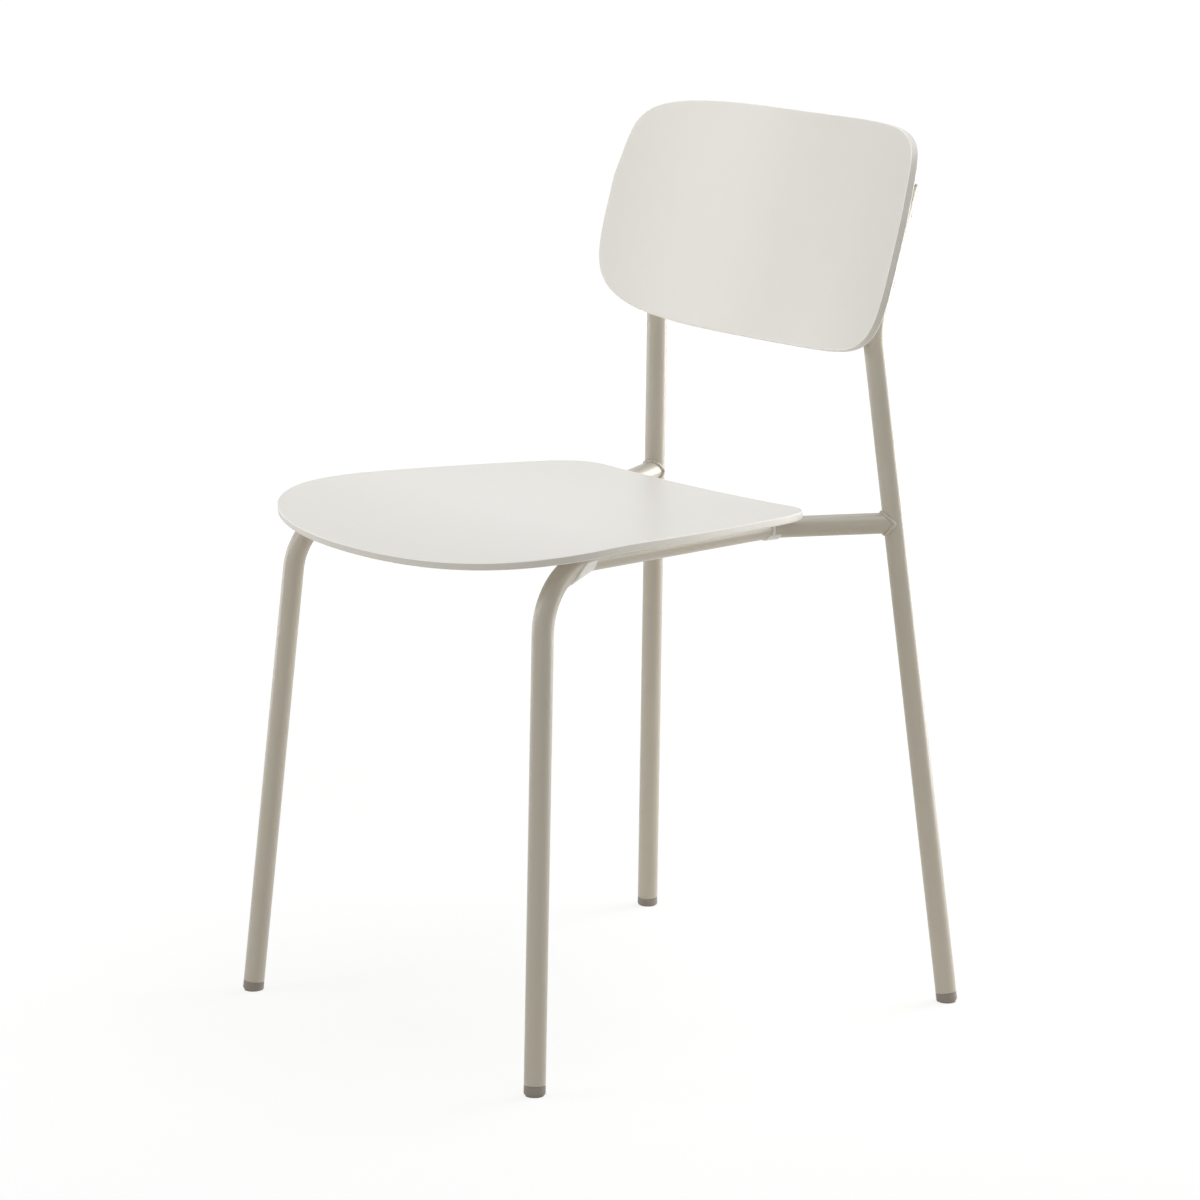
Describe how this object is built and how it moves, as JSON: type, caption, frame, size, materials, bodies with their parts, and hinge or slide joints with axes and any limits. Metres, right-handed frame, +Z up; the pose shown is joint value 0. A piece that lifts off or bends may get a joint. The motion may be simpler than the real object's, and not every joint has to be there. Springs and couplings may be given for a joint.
{
  "type": "stacking chair",
  "caption": "Stacking side chair with a bent round-tube frame, a thin dished plywood seat and a curved plywood back on splayed legs.",
  "frame": {"origin": "on the floor, midway between the left and right feet and midway along the overall depth", "axes": "+Z up, the chair faces -Y, +X is the sitter's left"},
  "size_m": [0.4504, 0.5276, 0.7918],
  "materials": {
    "frame_paint": "satin",
    "panel_lacquer": "satin lacquer over plywood",
    "cap_plastic": "satin, frame colour",
    "glide_plastic": "matte",
    "pad_plastic": "satin",
    "zinc_plate": "zinc plated"
  },
  "bodies": {
    "root": {"side_frame_left": "frame_paint", "side_frame_right": "frame_paint", "upright_left": "frame_paint", "upright_right": "frame_paint", "front_crossbar": "frame_paint", "rear_crossbar": "frame_paint", "rail_weld_left": "frame_paint", "rail_weld_right": "frame_paint", "front_bar_weld_left": "frame_paint", "front_bar_weld_right": "frame_paint", "rear_bar_weld_left": "frame_paint", "rear_bar_weld_right": "frame_paint", "fixing_plate_front_left": "frame_paint", "fixing_plate_front_right": "frame_paint", "fixing_plate_rear_left": "frame_paint", "fixing_plate_rear_right": "frame_paint", "seat_panel": "panel_lacquer", "back_panel": "panel_lacquer", "front_glide_left": "glide_plastic", "front_glide_right": "glide_plastic", "rear_glide_left": "glide_plastic", "rear_glide_right": "glide_plastic", "tube_cap_left": "cap_plastic", "tube_cap_right": "cap_plastic", "front_pad_left": "pad_plastic", "front_pad_right": "pad_plastic", "rear_pad_left": "pad_plastic", "rear_pad_right": "pad_plastic", "back_spacer_left_1": "pad_plastic", "back_spacer_left_2": "pad_plastic", "back_spacer_right_1": "pad_plastic", "back_spacer_right_2": "pad_plastic", "back_plug_left_1": "cap_plastic", "back_plug_left_2": "cap_plastic", "back_plug_right_1": "cap_plastic", "back_plug_right_2": "cap_plastic", "seat_insert_front_left": "zinc_plate", "seat_insert_front_right": "zinc_plate", "seat_insert_rear_left": "zinc_plate", "seat_insert_rear_right": "zinc_plate", "seat_screw_front_left": "zinc_plate", "seat_screw_front_right": "zinc_plate", "seat_screw_rear_left": "zinc_plate", "seat_screw_rear_right": "zinc_plate", "back_insert_left_1": "zinc_plate", "back_insert_left_2": "zinc_plate", "back_insert_right_1": "zinc_plate", "back_insert_right_2": "zinc_plate", "back_screw_left_1": "zinc_plate", "back_screw_left_2": "zinc_plate", "back_screw_right_1": "zinc_plate", "back_screw_right_2": "zinc_plate"}
  },
  "joints": []
}
